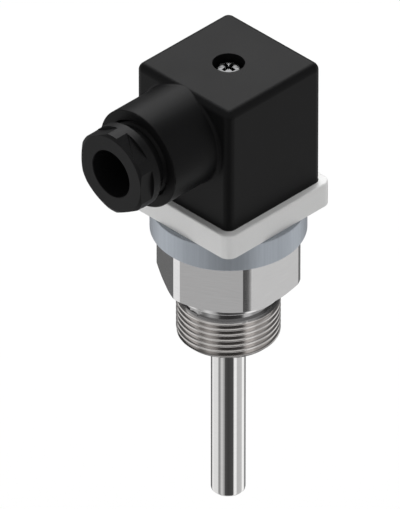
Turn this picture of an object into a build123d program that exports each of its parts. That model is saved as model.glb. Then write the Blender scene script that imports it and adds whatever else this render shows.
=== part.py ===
from build123d import *
import os

os.makedirs("parts", exist_ok=True)

# Temperature sensor with a screwed process fitting and a square cable plug, in millimetres.
# Origin: centre of the sealing face under the hexagon. +Z points up to the plug, and the
# cable leaves along -Y. Insertion depth is measured down from the origin.

# Clearances
slip = 0.05  # radial, round a part that turns or slides in another
push_gap = 0.15  # each side, round a moulded part that is pushed into another
seat_gap = 0.02  # each side, round a part that is pressed, brazed or moulded in
free_gap = 0.3  # where two parts only pass each other

# Protection tube
insertion_length = 60.0
tube_r = 4.0
tube_wall = 1.0
tube_tip = 2.0
tube_tip_chamfer = 0.6
tube_seat_z = 2.0
tube_seat_step = 0.4  # the end in the fitting is turned down by this, and its step meets the nose

# Process fitting, from the hexagon down to the nose of the thread
hex_width = 30.0
hex_corner_r = 16.75
hex_height = 13.5
hex_chamfer_height = 1.0
hex_chamfer_width = 1.6
collar_r = 12.9
collar_height = 2.5
relief_r = 10.9
relief_height = 2.7
thread_r = 12.0
thread_length = 10.4
thread_chamfer = 0.9

# Neck of the fitting and the well inside it
neck_height = 5.5
neck_wall = 1.7
well_floor_z = 6.0
insert_bore_gap = 0.1

# Measuring insert inside the tube
sheath_r = 2.8
sheath_wall = 0.4
sheath_tip = 0.8
sheath_tip_gap = 0.2
sheath_above_collar = 2.0
collar_plate = 2.5
collar_hub_r = 4.5
collar_hub_height = 1.5
circlip_height = 1.0
circlip_width = 1.7
circlip_bite = 0.6
circlip_opening = 50.0  # degrees
element_r = 1.6
element_length = 10.0
element_edge = 0.2
insulator_r = 2.2
insulator_bore_r = 0.45
lead_r = 0.35
lead_pitch_r = 1.0
lead_bend_r = 2.5
lead_drop_above_neck = 1.0
lead_gather_z = 12.0
earth_lead_r = 6.0
earth_lead_bend_r = 1.2
earth_lead_gather_depth = 1.0

# Head ring between fitting and plug base
ring_r = 18.0
ring_height = 6.7
ring_edge = 0.25
ring_web = 0.45  # between the neck and the base screws
ring_seal_wall = 0.5  # between the base screws and the seal's groove
ring_seal_width = 1.3
ring_seal_depth = 1.1
ring_seal_chamfer = 0.3

# Plug base with its four blades
base_width = 33.5
base_corner_r = 2.6
base_height = 6.2
base_edge = 0.4
solder_well_r = 10.2
solder_well_depth = 1.2
pillar_r = 3.6
pillar_height = 2.8
nut_r = 2.3
nut_length = 6.8
nut_groove_depth = 0.3
nut_groove_height = 0.7
base_screw_spacing = 18.0
base_screw_r = 1.25
base_screw_head_r = 2.15
base_screw_length = 9.0
base_screw_sunk = 0.2

blade_spacing = 18.0
blade_width = 6.3
blade_thickness = 0.8
blade_reach = 10.9
blade_tip_chamfer = 0.25
tail_width = 3.0
tail_length = 2.0

# Plug housing
housing_width = 30.0
housing_height = 32.15
housing_corner_r = 2.0
housing_top_r = 1.85
housing_wall = 2.0
housing_top_wall = 2.4
cavity_corner_r = 1.2
gasket_height = 0.2
gasket_proud = 0.05
gasket_lip = 1.0
gasket_lip_height = 1.0

# Centre screw that holds the plug down, and its well in the top
screw_r = 1.5
screw_length = 33.0
screw_point = 0.4
screw_head_r = 3.0
screw_rim_height = 1.0
screw_dome_height = 0.75
screw_recess_length = 4.0
screw_recess_width = 0.9
screw_recess_depth = 1.2
screw_well_r = 3.75
screw_well_depth = 3.6
screw_seal_height = 0.8
screw_seal_r = 3.5
sleeve_r = 3.2
sleeve_floor = 1.5

# Cable gland
boss_r = 12.1
boss_length = 14.2
boss_below_top = 0.05
boss_edge = 0.3
boss_root_r = 0.8
gland_r = 9.3
gland_bore_r = 5.85
gland_mouth_chamfer = 0.4
gland_nut_width = 19.0
gland_nut_r = 10.25
gland_nut_height = 3.6
gland_nut_face_r = 9.45
gland_collar_height = 2.0
gland_spigot_length = 8.25
gland_end_chamfer = 0.5
washer_thickness = 1.2
washer_free_travel = 2.3
seal_length = 6.0
seal_r = 8.6
seal_bore_r = 4.5
seal_bevel = 1.2
web_thickness = 1.2
web_hole_r = 6.2

# Terminal block and the contacts in it
block_gap_below = 0.7
foot_height = 1.1
block_top_above_base = 12.3
block_corner_r = 1.0
pocket_length = 7.2
pocket_width = 4.6
pocket_floor = 2.1
contact_leg = 0.5
contact_width = 6.0
clamp_length = 6.4
clamp_width = 4.0
clamp_height = 5.2
wire_hole_r = 1.3
clamp_screw_r = 1.2
clamp_screw_length = 1.7
clamp_screw_head_r = 1.9
clamp_screw_head_height = 1.3
screw_slot = 0.5

# Heights that follow from the sizes above
relief_z = -collar_height
thread_z = relief_z - relief_height
nose_z = thread_z - thread_length
neck_top_z = hex_height + neck_height
base_z = hex_height + ring_height
base_top_z = base_z + base_height
housing_z = base_top_z + gasket_height
housing_top_z = housing_z + housing_height
ceiling_z = housing_top_z - housing_top_wall
screw_seat_z = housing_top_z - screw_well_depth
screw_head_z = screw_seat_z + screw_seal_height
block_top_z = base_top_z + block_top_above_base
pocket_floor_z = base_top_z + block_gap_below + pocket_floor
pillar_top_z = base_top_z + pillar_height
blade_top_z = base_top_z + blade_reach
solder_z = base_z + solder_well_depth
tail_end_z = solder_z - tail_length
contact_r = blade_spacing / 2
clamp_z = blade_top_z + free_gap
clamp_top_z = clamp_z + clamp_height
wire_hole_z = clamp_z + clamp_height / 2

# Radii in the head ring that follow from the base screws, from the well out to the seal
base_screw_pitch_r = base_screw_spacing / 2**0.5
neck_r = base_screw_pitch_r - base_screw_r - seat_gap - ring_web
well_r = neck_r - neck_wall
seal_inner_r = base_screw_pitch_r + base_screw_r + seat_gap + ring_seal_wall
seal_outer_r = seal_inner_r + ring_seal_width

# Places along the cable's axis
gland_z = housing_top_z - boss_below_top - boss_r
side_y = -housing_width / 2
web_y = side_y + housing_wall - web_thickness
seal_end_y = web_y - seal_length
mouth_y = side_y - boss_length
washer_y = seal_end_y - washer_free_travel
spigot_y = washer_y - washer_thickness - slip
collar_y = spigot_y - gland_spigot_length
nut_y = collar_y - gland_collar_height
nut_face_y = nut_y - gland_nut_height

gland_plane = Plane(origin=(0, 0, gland_z), x_dir=(1, 0, 0), z_dir=(0, 0, 1))
gland_axis = Axis((0, 0, gland_z), (0, 1, 0))
contact_angles = {"1": 0, "2": 180, "3": 90, "earth": 270}


def turned(*outline, plane=Plane.XZ, axis=Axis.Z, mode=Mode.ADD):
    """Turn an outline of (radius, place along the axis) points into the part being built."""
    with BuildSketch(plane) as section:
        with BuildLine():
            Polyline(*outline, close=True)
        make_face()
    revolve(section.sketch, axis=axis, mode=mode)


def finish(builder, name):
    """Label the finished piece and write its file."""
    builder.part.label = name
    export_step(builder.part, f"parts/{name}.step")


# Process fitting: hexagon, collar, thread relief and thread turned from one bar,
# with a neck that enters the head ring and a stepped bore for tube and insert
tube_seat_r = tube_r - tube_seat_step
with BuildPart() as process_fitting:
    with BuildSketch():
        RegularPolygon(hex_width / 2, 6, major_radius=False, rotation=30)
    extrude(amount=hex_height)
    turned(
        (0, 0),
        (hex_corner_r - hex_chamfer_width, 0),
        (hex_corner_r, hex_chamfer_height),
        (hex_corner_r, hex_height),
        (0, hex_height),
        mode=Mode.INTERSECT,
    )
    turned(
        (0, nose_z),
        (thread_r - thread_chamfer, nose_z),
        (thread_r, nose_z + thread_chamfer),
        (thread_r, thread_z),
        (relief_r, thread_z),
        (relief_r, relief_z),
        (collar_r, relief_z),
        (collar_r, 0),
        (0, 0),
    )
    turned(
        (0, hex_height),
        (neck_r, hex_height),
        (neck_r, neck_top_z),
        (0, neck_top_z),
    )
    groove_z = well_floor_z + collar_plate
    groove_r = well_r + circlip_bite + slip
    turned(
        (0, nose_z),
        (tube_seat_r + seat_gap, nose_z),
        (tube_seat_r + seat_gap, tube_seat_z),
        (sheath_r + insert_bore_gap, tube_seat_z),
        (sheath_r + insert_bore_gap, well_floor_z),
        (well_r, well_floor_z),
        (well_r, groove_z),
        (groove_r, groove_z),
        (groove_r, groove_z + circlip_height + slip),
        (well_r, groove_z + circlip_height + slip),
        (well_r, neck_top_z),
        (0, neck_top_z),
        mode=Mode.SUBTRACT,
    )
finish(process_fitting, "process_fitting")

# Protection tube: drawn tube with a closed, slightly chamfered tip, welded into the nose
tip_z = -insertion_length
with BuildPart() as protection_tube:
    turned(
        (0, tip_z),
        (tube_r - tube_tip_chamfer, tip_z),
        (tube_r, tip_z + tube_tip_chamfer),
        (tube_r, nose_z),
        (tube_seat_r, nose_z),
        (tube_seat_r, tube_seat_z),
        (tube_r - tube_wall, tube_seat_z),
        (tube_r - tube_wall, tip_z + tube_tip),
        (0, tip_z + tube_tip),
    )
finish(protection_tube, "protection_tube")

# Measuring insert: a thin closed sheath brazed into a collar, which a circlip holds down
sheath_z = tip_z + tube_tip + sheath_tip_gap
sheath_top_z = well_floor_z + collar_plate + sheath_above_collar
with BuildPart() as insert_sheath:
    turned(
        (0, sheath_z),
        (sheath_r, sheath_z),
        (sheath_r, sheath_top_z),
        (sheath_r - sheath_wall, sheath_top_z),
        (sheath_r - sheath_wall, sheath_z + sheath_tip),
        (0, sheath_z + sheath_tip),
    )
finish(insert_sheath, "insert_sheath")

with BuildPart() as insert_collar:
    turned(
        (sheath_r + seat_gap, well_floor_z),
        (well_r - slip, well_floor_z),
        (well_r - slip, groove_z),
        (collar_hub_r, groove_z),
        (collar_hub_r, groove_z + collar_hub_height),
        (sheath_r + seat_gap, groove_z + collar_hub_height),
    )
finish(insert_collar, "insert_collar")

with BuildPart() as retaining_ring:
    with BuildSketch(Plane.XY.offset(groove_z)):
        Circle(groove_r - slip)
        Circle(groove_r - slip - circlip_width, mode=Mode.SUBTRACT)
        with BuildLine():
            gap_arc = CenterArc(
                (0, 0), 2 * groove_r, 180 - circlip_opening / 2, circlip_opening
            )
            Line(gap_arc @ 0, (0, 0))
            Line((0, 0), gap_arc @ 1)
        make_face(mode=Mode.SUBTRACT)
    extrude(amount=circlip_height)
finish(retaining_ring, "retaining_ring")

# Sensing element at the tip and the ceramic rod that keeps the leads apart
element_z = sheath_z + sheath_tip + free_gap
element_top_z = element_z + element_length
with BuildPart() as sensing_element:
    with BuildSketch(Plane.XY.offset(element_z)):
        Circle(element_r)
    extrude(amount=element_length)
    chamfer(sensing_element.edges().filter_by(GeomType.CIRCLE), length=element_edge)
finish(sensing_element, "sensing_element")

with BuildPart() as ceramic_insulator:
    with BuildSketch(Plane.XY.offset(element_top_z + free_gap)):
        Circle(insulator_r)
        for number in ("1", "2", "3"):
            with PolarLocations(lead_pitch_r, 1, start_angle=contact_angles[number]):
                Circle(insulator_bore_r, mode=Mode.SUBTRACT)
    extrude(amount=sheath_top_z - element_top_z - free_gap)
finish(ceramic_insulator, "ceramic_insulator")

# Leads: one from each blade's tail down the ceramic rod to the element,
# and a short earth lead from the earth blade to the insert's collar
lead_top_r = contact_r - blade_thickness / 2 - lead_r - seat_gap
lead_drop_z = neck_top_z + lead_drop_above_neck
for number in ("1", "2", "3"):
    turn = Rotation(0, 0, contact_angles[number])
    with BuildPart() as lead:
        with BuildLine():
            FilletPolyline(
                (lead_top_r, 0, solder_z - free_gap),
                (lead_top_r, 0, lead_drop_z),
                (lead_pitch_r, 0, lead_gather_z),
                (lead_pitch_r, 0, element_top_z + seat_gap),
                radius=lead_bend_r,
            )
        with BuildSketch(Plane((lead_top_r, 0, solder_z - free_gap), z_dir=(0, 0, -1))):
            Circle(lead_r)
        sweep()
    lead.part.locate(turn)
    finish(lead, f"lead_{number}")

with BuildPart() as earth_lead:
    with BuildLine():
        FilletPolyline(
            (lead_top_r, 0, solder_z - free_gap),
            (lead_top_r, 0, lead_drop_z),
            (earth_lead_r, 0, neck_top_z - earth_lead_gather_depth),
            (earth_lead_r, 0, groove_z + seat_gap),
            radius=earth_lead_bend_r,
        )
    with BuildSketch(Plane((lead_top_r, 0, solder_z - free_gap), z_dir=(0, 0, -1))):
        Circle(lead_r)
    sweep()
earth_lead.part.locate(Rotation(0, 0, contact_angles["earth"]))
finish(earth_lead, "earth_lead")

# Head ring: turned ring that sits on the hexagon round the fitting's neck,
# tapped for the base's screws and grooved for the seal under the base
base_screw_depth = base_screw_sunk + base_screw_length
with BuildPart() as head_ring:
    turned(
        (neck_r + seat_gap, hex_height),
        (ring_r - ring_edge, hex_height),
        (ring_r, hex_height + ring_edge),
        (ring_r, base_z - ring_edge),
        (ring_r - ring_edge, base_z),
        (seal_outer_r, base_z),
        (seal_outer_r, base_z - ring_seal_depth),
        (seal_inner_r, base_z - ring_seal_depth),
        (seal_inner_r, base_z),
        (neck_r + seat_gap, base_z),
    )
    with Locations((0, 0, base_z)):
        with GridLocations(base_screw_spacing, base_screw_spacing, 2, 2):
            Hole(
                base_screw_r + seat_gap,
                depth=base_screw_depth - base_height + free_gap,
            )
finish(head_ring, "head_ring")

with BuildPart() as base_seal:
    turned(
        (seal_inner_r + slip, base_z - ring_seal_depth),
        (seal_outer_r - slip, base_z - ring_seal_depth),
        (seal_outer_r - slip, base_z - ring_seal_chamfer),
        (seal_outer_r - slip - ring_seal_chamfer, base_z),
        (seal_inner_r + slip + ring_seal_chamfer, base_z),
        (seal_inner_r + slip, base_z - ring_seal_chamfer),
    )
finish(base_seal, "base_seal")

# Plug base: square moulding with a centre pillar for the brass nut, four blade slots,
# countersunk screw holes and a well underneath where the leads are soldered
with BuildPart() as connector_base:
    with BuildSketch(Plane.XY.offset(base_z)):
        RectangleRounded(base_width, base_width, base_corner_r)
    extrude(amount=base_height)
    chamfer(connector_base.faces().sort_by(Axis.Z)[-1].edges(), length=base_edge)
    with BuildSketch(Plane.XY.offset(base_top_z)):
        Circle(pillar_r)
    extrude(amount=pillar_height)
    with BuildSketch(Plane.XY.offset(base_z)):
        Circle(solder_well_r)
    extrude(amount=solder_well_depth, mode=Mode.SUBTRACT)
    with BuildSketch(Plane.XY.offset(pillar_top_z)):
        Circle(nut_r + seat_gap)
    extrude(amount=-nut_length, mode=Mode.SUBTRACT)
    with BuildSketch(Plane.XY.offset(solder_z)):
        with PolarLocations(contact_r, len(contact_angles)):
            Rectangle(blade_thickness + 2 * seat_gap, blade_width + 2 * seat_gap)
    extrude(amount=base_height, mode=Mode.SUBTRACT)
    with Locations((0, 0, base_top_z)):
        with GridLocations(base_screw_spacing, base_screw_spacing, 2, 2):
            CounterSinkHole(
                radius=base_screw_r + push_gap,
                counter_sink_radius=base_screw_head_r + base_screw_sunk + slip,
                counter_sink_angle=90,
                depth=base_height,
            )
finish(connector_base, "connector_base")

with BuildPart() as threaded_insert:
    nut_z = pillar_top_z - nut_length
    nut_middle_z = pillar_top_z - nut_length / 2
    turned(
        (screw_r + slip, nut_z),
        (nut_r, nut_z),
        (nut_r, nut_middle_z - nut_groove_height / 2 - nut_groove_depth),
        (nut_r - nut_groove_depth, nut_middle_z - nut_groove_height / 2),
        (nut_r - nut_groove_depth, nut_middle_z + nut_groove_height / 2),
        (nut_r, nut_middle_z + nut_groove_height / 2 + nut_groove_depth),
        (nut_r, pillar_top_z),
        (screw_r + slip, pillar_top_z),
    )
finish(threaded_insert, "threaded_insert")

with BuildPart() as base_screws:
    shank_z = base_top_z - base_screw_depth
    head_top_z = base_top_z - base_screw_sunk
    cone = base_screw_head_r - base_screw_r
    with BuildSketch(Plane.XZ) as screw_section:
        with BuildLine():
            Polyline(
                (0, shank_z),
                (base_screw_r, shank_z),
                (base_screw_r, head_top_z - cone),
                (base_screw_head_r, head_top_z),
                (0, head_top_z),
                close=True,
            )
        make_face()
    one_screw = revolve(screw_section.sketch, axis=Axis.Z, mode=Mode.PRIVATE)
    with GridLocations(base_screw_spacing, base_screw_spacing, 2, 2):
        add(one_screw)
    with BuildSketch(Plane.XY.offset(head_top_z)):
        with GridLocations(base_screw_spacing, base_screw_spacing, 2, 2):
            Rectangle(2 * base_screw_head_r, screw_slot)
    extrude(amount=-cone / 2, mode=Mode.SUBTRACT)
finish(base_screws, "base_screws")

# Blades: flat pins moulded into the base, with a narrow solder tail below
for number, angle in contact_angles.items():
    with BuildPart() as pin:
        with BuildSketch(Plane.YZ.offset(contact_r - blade_thickness / 2)):
            with BuildLine():
                Polyline(
                    (-tail_width / 2, tail_end_z),
                    (tail_width / 2, tail_end_z),
                    (tail_width / 2, solder_z),
                    (blade_width / 2, solder_z),
                    (blade_width / 2, blade_top_z),
                    (-blade_width / 2, blade_top_z),
                    (-blade_width / 2, solder_z),
                    (-tail_width / 2, solder_z),
                    close=True,
                )
            make_face()
        extrude(amount=blade_thickness)
        chamfer(pin.faces().sort_by(Axis.Z)[-1].edges(), length=blade_tip_chamfer)
    pin.part.locate(Rotation(0, 0, angle))
    finish(pin, "earth_pin" if number == "earth" else f"pin_{number}")

# Flat gasket under the housing, with a lip that stands up inside its wall
cavity_width = housing_width - 2 * housing_wall
lip_width = cavity_width - 2 * free_gap
lip_inner = lip_width - 2 * gasket_lip
with BuildPart() as profile_gasket:
    with BuildSketch(Plane.XY.offset(base_top_z)):
        RectangleRounded(
            housing_width + 2 * gasket_proud,
            housing_width + 2 * gasket_proud,
            housing_corner_r + gasket_proud,
        )
        RectangleRounded(lip_inner, lip_inner, cavity_corner_r, mode=Mode.SUBTRACT)
    extrude(amount=gasket_height)
    with BuildSketch(Plane.XY.offset(housing_z)):
        RectangleRounded(lip_width, lip_width, cavity_corner_r)
        RectangleRounded(lip_inner, lip_inner, cavity_corner_r, mode=Mode.SUBTRACT)
    extrude(amount=gasket_lip_height)
finish(profile_gasket, "profile_gasket")

# Plug housing: square moulding, open below, with the gland boss on one side,
# a sunk screw well in the top and a sleeve that carries the screw down to the block
sleeve_head_r = screw_well_r + housing_wall
with BuildPart() as socket_housing:
    with BuildSketch(Plane.XY.offset(housing_z)):
        RectangleRounded(housing_width, housing_width, housing_corner_r)
    extrude(amount=housing_height)
    fillet(socket_housing.faces().sort_by(Axis.Z)[-1].edges(), radius=housing_top_r)
    turned(
        (0, side_y + housing_wall),
        (boss_r, side_y + housing_wall),
        (boss_r, mouth_y + boss_edge),
        (boss_r - boss_edge, mouth_y),
        (0, mouth_y),
        plane=gland_plane,
        axis=gland_axis,
    )
    round_edges = socket_housing.edges().filter_by(GeomType.CIRCLE)
    boss_root = round_edges.filter_by_position(Axis.Y, side_y - slip, side_y + slip)
    fillet(boss_root, radius=boss_root_r)
    with BuildSketch(Plane.XY.offset(housing_z)):
        RectangleRounded(cavity_width, cavity_width, cavity_corner_r)
    extrude(amount=ceiling_z - housing_z, mode=Mode.SUBTRACT)
    turned(
        (0, block_top_z),
        (sleeve_r, block_top_z),
        (sleeve_r, screw_seat_z - sleeve_floor - sleeve_head_r + sleeve_r),
        (sleeve_head_r, screw_seat_z - sleeve_floor),
        (sleeve_head_r, ceiling_z),
        (0, ceiling_z),
    )
    turned(
        (0, block_top_z),
        (screw_r + push_gap, block_top_z),
        (screw_r + push_gap, screw_seat_z),
        (screw_well_r, screw_seat_z),
        (screw_well_r, housing_top_z),
        (0, housing_top_z),
        mode=Mode.SUBTRACT,
    )
    turned(
        (0, mouth_y),
        (gland_r + slip + gland_mouth_chamfer, mouth_y),
        (gland_r + slip, mouth_y + gland_mouth_chamfer),
        (gland_r + slip, seal_end_y),
        (seal_r + slip, seal_end_y),
        (seal_r + slip, web_y),
        (web_hole_r, web_y),
        (web_hole_r, side_y + housing_wall),
        (0, side_y + housing_wall),
        plane=gland_plane,
        axis=gland_axis,
        mode=Mode.SUBTRACT,
    )
finish(socket_housing, "socket_housing")

# Centre screw with a domed head, and the seal washer under it
head_rim_z = screw_head_z + screw_rim_height
with BuildPart() as fixing_screw:
    with BuildSketch(Plane.XZ):
        with BuildLine():
            Polyline(
                (0, head_rim_z + screw_dome_height),
                (0, screw_head_z - screw_length),
                (screw_r - screw_point, screw_head_z - screw_length),
                (screw_r, screw_head_z - screw_length + screw_point),
                (screw_r, screw_head_z),
                (screw_head_r, screw_head_z),
                (screw_head_r, head_rim_z),
            )
            TangentArc(
                (0, head_rim_z + screw_dome_height),
                (screw_head_r, head_rim_z),
                tangent=(1, 0),
            )
        make_face()
    revolve(axis=Axis.Z)
    with BuildSketch(Plane.XY.offset(head_rim_z + screw_dome_height)):
        Rectangle(screw_recess_length, screw_recess_width)
        Rectangle(screw_recess_width, screw_recess_length)
    extrude(amount=-screw_recess_depth, mode=Mode.SUBTRACT)
finish(fixing_screw, "fixing_screw")

with BuildPart() as screw_seal:
    with BuildSketch(Plane.XY.offset(screw_seat_z)):
        Circle(screw_seal_r)
        Circle(screw_r + slip, mode=Mode.SUBTRACT)
    extrude(amount=screw_seal_height)
finish(screw_seal, "screw_seal")

# Terminal block: four pockets round a centre bore, slots in the floor for the blades
block_width = cavity_width - 2 * push_gap
foot_width = lip_inner - 2 * free_gap
foot_z = base_top_z + block_gap_below
with BuildPart() as terminal_block:
    with BuildSketch(Plane.XY.offset(foot_z)):
        RectangleRounded(foot_width, foot_width, block_corner_r)
    extrude(amount=foot_height)
    with BuildSketch(Plane.XY.offset(foot_z + foot_height)):
        RectangleRounded(block_width, block_width, block_corner_r)
    extrude(amount=block_top_z - foot_z - foot_height)
    with BuildSketch(Plane.XY.offset(pocket_floor_z)):
        with PolarLocations(contact_r, len(contact_angles)):
            Rectangle(pocket_width, pocket_length)
    extrude(amount=block_top_z - pocket_floor_z, mode=Mode.SUBTRACT)
    with BuildSketch(Plane.XY.offset(foot_z)):
        with PolarLocations(contact_r, len(contact_angles)):
            Rectangle(
                blade_thickness + 2 * free_gap,
                blade_width + 2 * free_gap,
            )
        Circle(screw_r + push_gap)
    extrude(amount=block_top_z - foot_z, mode=Mode.SUBTRACT)
    with BuildSketch(Plane.XY.offset(foot_z)):
        Circle(pillar_r + free_gap)
    extrude(amount=pillar_top_z + free_gap - foot_z, mode=Mode.SUBTRACT)
finish(terminal_block, "terminal_block")

# Contacts: a sprung fork over each blade, with a clamp block for the wire on top
fork_width = blade_thickness + 2 * (seat_gap + contact_leg)
for number, angle in contact_angles.items():
    with BuildPart() as contact:
        with BuildSketch(Plane.XY.offset(pocket_floor_z + seat_gap)):
            with Locations((contact_r, 0)):
                Rectangle(fork_width, contact_width)
        extrude(amount=clamp_z - pocket_floor_z - seat_gap)
        with BuildSketch(Plane.XY.offset(pocket_floor_z + seat_gap)):
            with Locations((contact_r, 0)):
                Rectangle(blade_thickness + 2 * seat_gap, contact_width)
        extrude(amount=blade_top_z + seat_gap - pocket_floor_z, mode=Mode.SUBTRACT)
        with BuildSketch(Plane.XY.offset(clamp_z)):
            with Locations((contact_r, 0)):
                Rectangle(clamp_width, clamp_length)
        extrude(amount=clamp_height)
        with BuildSketch(Plane.YZ.offset(contact_r - clamp_width / 2)):
            with Locations((0, wire_hole_z)):
                Circle(wire_hole_r)
        extrude(amount=clamp_width, mode=Mode.SUBTRACT)
        with BuildSketch(Plane.XY.offset(clamp_top_z)):
            with Locations((contact_r, 0)):
                Circle(clamp_screw_r + seat_gap)
        extrude(amount=wire_hole_z - clamp_top_z, mode=Mode.SUBTRACT)
    contact.part.locate(Rotation(0, 0, angle))
    finish(contact, "earth_contact" if number == "earth" else f"contact_{number}")

# Clamp screws: four alike, one in the top of each contact
clamp_head_z = clamp_top_z + seat_gap
with BuildPart() as clamp_screws:
    with PolarLocations(contact_r, len(contact_angles)):
        with Locations((0, 0, clamp_head_z)):
            Cylinder(
                clamp_screw_head_r,
                clamp_screw_head_height,
                align=(Align.CENTER, Align.CENTER, Align.MIN),
            )
            Cylinder(
                clamp_screw_r,
                clamp_screw_length,
                align=(Align.CENTER, Align.CENTER, Align.MAX),
            )
    with BuildSketch(Plane.XY.offset(clamp_head_z + clamp_screw_head_height)):
        with PolarLocations(contact_r, len(contact_angles)):
            Rectangle(screw_slot, 2 * clamp_screw_head_r)
    extrude(amount=-clamp_screw_head_height / 2, mode=Mode.SUBTRACT)
finish(clamp_screws, "clamp_screws")

# Cable seal: rubber sleeve in the bottom of the boss, bevelled where it is squeezed
with BuildPart() as gland_seal:
    turned(
        (seal_bore_r, web_y),
        (seal_r, web_y),
        (seal_r, seal_end_y + seal_bevel),
        (seal_r - seal_bevel, seal_end_y),
        (seal_bore_r + seal_bevel, seal_end_y),
        (seal_bore_r, seal_end_y + seal_bevel),
        plane=gland_plane,
        axis=gland_axis,
    )
finish(gland_seal, "gland_seal")

# Thrust washer between the gland screw and the seal
with BuildPart() as thrust_washer:
    turned(
        (gland_bore_r + push_gap, washer_y),
        (gland_r - slip, washer_y),
        (gland_r - slip, washer_y - washer_thickness),
        (gland_bore_r + push_gap, washer_y - washer_thickness),
        plane=gland_plane,
        axis=gland_axis,
    )
finish(thrust_washer, "thrust_washer")

# Gland screw: hollow screw with a round collar and a hexagon for the spanner
with BuildPart() as gland_screw:
    with BuildSketch(Plane(origin=(0, nut_y, gland_z), x_dir=(1, 0, 0), z_dir=(0, -1, 0))):
        RegularPolygon(gland_nut_width / 2, 6, major_radius=False, rotation=30)
    extrude(amount=gland_nut_height)
    turned(
        (0, nut_y),
        (gland_nut_r, nut_y),
        (gland_nut_r, nut_face_y + (gland_nut_r - gland_nut_face_r) / 2),
        (gland_nut_face_r, nut_face_y),
        (0, nut_face_y),
        plane=gland_plane,
        axis=gland_axis,
        mode=Mode.INTERSECT,
    )
    turned(
        (0, spigot_y),
        (gland_r - gland_end_chamfer, spigot_y),
        (gland_r, spigot_y - gland_end_chamfer),
        (gland_r, collar_y),
        (gland_nut_r, collar_y),
        (gland_nut_r, nut_y),
        (0, nut_y),
        plane=gland_plane,
        axis=gland_axis,
    )
    turned(
        (0, spigot_y),
        (gland_bore_r, spigot_y),
        (gland_bore_r, nut_face_y),
        (0, nut_face_y),
        plane=gland_plane,
        axis=gland_axis,
        mode=Mode.SUBTRACT,
    )
finish(gland_screw, "gland_screw")
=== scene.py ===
import math

import bpy
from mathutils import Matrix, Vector


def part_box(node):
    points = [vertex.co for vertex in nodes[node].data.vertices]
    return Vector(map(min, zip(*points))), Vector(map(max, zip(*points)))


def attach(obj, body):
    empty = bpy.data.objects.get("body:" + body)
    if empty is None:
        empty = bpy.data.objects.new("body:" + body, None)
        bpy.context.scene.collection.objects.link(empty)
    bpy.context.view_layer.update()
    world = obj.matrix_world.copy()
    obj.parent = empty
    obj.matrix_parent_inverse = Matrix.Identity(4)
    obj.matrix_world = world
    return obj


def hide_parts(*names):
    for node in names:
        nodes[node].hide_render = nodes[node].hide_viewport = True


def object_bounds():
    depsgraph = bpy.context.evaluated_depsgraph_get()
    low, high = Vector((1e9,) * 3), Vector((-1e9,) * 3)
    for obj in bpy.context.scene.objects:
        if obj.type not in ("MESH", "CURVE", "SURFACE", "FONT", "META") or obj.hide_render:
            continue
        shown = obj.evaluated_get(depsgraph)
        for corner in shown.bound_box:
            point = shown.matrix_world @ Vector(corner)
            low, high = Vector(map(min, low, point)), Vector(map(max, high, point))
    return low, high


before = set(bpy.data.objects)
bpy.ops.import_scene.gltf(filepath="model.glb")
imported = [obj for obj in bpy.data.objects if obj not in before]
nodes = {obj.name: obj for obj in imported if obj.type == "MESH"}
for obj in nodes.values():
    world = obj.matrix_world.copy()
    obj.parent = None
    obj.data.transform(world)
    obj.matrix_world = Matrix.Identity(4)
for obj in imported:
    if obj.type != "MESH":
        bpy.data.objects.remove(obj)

cad_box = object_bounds()
mm = 0.001

# Camera
# The sensor is seen from 45 degrees round, over the corner between the cable's side and the
# right side, and from 35.26 degrees up, through a lens so long that parallel edges stay so.
view_round = math.radians(-45)
view_up = math.radians(35.264)
frame_height = 116.2 * mm
lens_length = 1300.0
sensor_height = 36.0
aim = Vector((-6.32, -2.85, 3.82)) * mm
toward_camera = Vector(
    (
        math.cos(view_up) * math.cos(view_round),
        math.cos(view_up) * math.sin(view_round),
        math.sin(view_up),
    )
)
distance = frame_height * lens_length / sensor_height
camera_data = bpy.data.cameras.new("camera")
camera_data.sensor_fit = "VERTICAL"
camera_data.sensor_height = sensor_height
camera_data.lens = lens_length
camera_data.clip_start = 0.1
camera_data.clip_end = 2 * distance
camera = bpy.data.objects.new("camera", camera_data)
camera.location = aim + toward_camera * distance
camera.rotation_euler = (-toward_camera).to_track_quat("-Z", "Y").to_euler()
bpy.context.scene.collection.objects.link(camera)
bpy.context.scene.camera = camera
bpy.context.scene.view_settings.view_transform = "Standard"

# Studio sky
# Plain white light for matt surfaces. Polished surfaces see a ring of pale and dark panels
# below the horizon, a dim dome with a dark cap above it, and a soft box behind the sensor.
world = bpy.data.worlds.new("studio")
bpy.context.scene.world = world
world.use_nodes = True
tree = world.node_tree
tree.nodes.clear()


def add_node(tree, kind, **settings):
    """Add a shader node, set its attributes, and return it."""
    node = tree.nodes.new(kind)
    for name, value in settings.items():
        setattr(node, name, value)
    return node


def math_node(tree, operation, first, second=None, third=None):
    """A Math node on sockets or plain numbers, returned as its output socket."""
    node = add_node(tree, "ShaderNodeMath", operation=operation)
    for socket, value in zip(node.inputs, (first, second, third)):
        if isinstance(value, (int, float)):
            socket.default_value = value
        elif value is not None:
            tree.links.new(value, socket)
    return node.outputs[0]


def ramp_node(tree, factor, stops):
    """A colour ramp of (place, level) stops, returned as its colour socket."""
    node = add_node(tree, "ShaderNodeValToRGB")
    elements = node.color_ramp.elements
    elements[0].position, elements[1].position = stops[0][0], stops[-1][0]
    elements[0].color = (*[stops[0][1]] * 3, 1)
    elements[-1].color = (*[stops[-1][1]] * 3, 1)
    for place, level in stops[1:-1]:
        elements.new(place).color = (*[level] * 3, 1)
    tree.links.new(factor, node.inputs[0])
    return node.outputs[0]


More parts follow.
